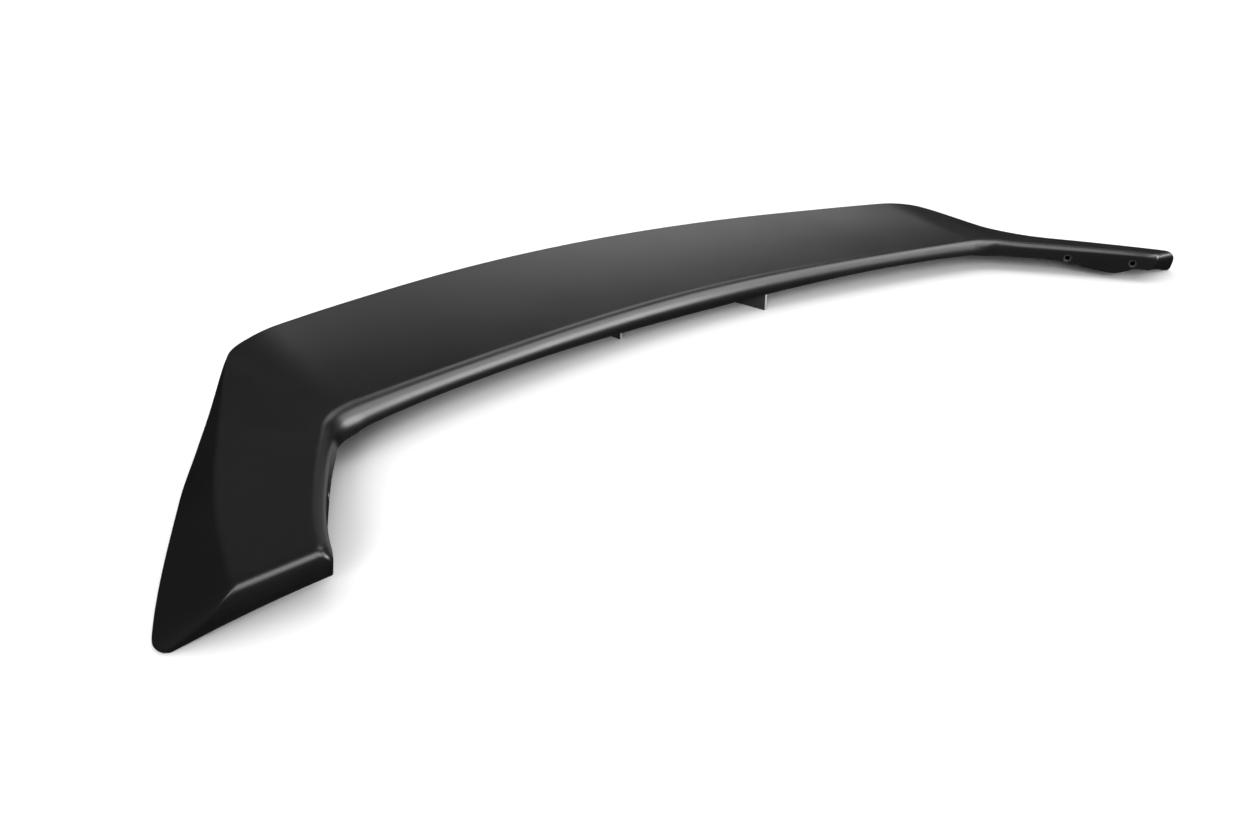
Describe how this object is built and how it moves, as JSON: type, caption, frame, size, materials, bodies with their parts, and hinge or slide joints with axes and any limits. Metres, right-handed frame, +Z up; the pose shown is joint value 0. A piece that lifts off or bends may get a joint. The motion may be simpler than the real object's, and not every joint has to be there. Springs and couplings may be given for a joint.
{
  "type": "rear wing",
  "caption": "U-shaped rear wing for a hatchback: a wide hollow blade with a raised trailing edge and two splayed legs, screwed on through the legs' inner walls.",
  "frame": {"origin": "under the middle of the wing's box, on the surface that it lies on", "axes": "+X across the car along the blade, +Y to the trailing edge, +Z up from the surface that it lies on"},
  "size_m": [1.2986, 0.4278, 0.0694],
  "materials": {
    "shell": "satin black, unpainted, fine moulded grain",
    "rib": "matt dark sheet with lighter cut edges"
  },
  "bodies": {
    "root": {"wing_shell": "shell", "left_rib": "rib", "right_rib": "rib"}
  },
  "joints": []
}
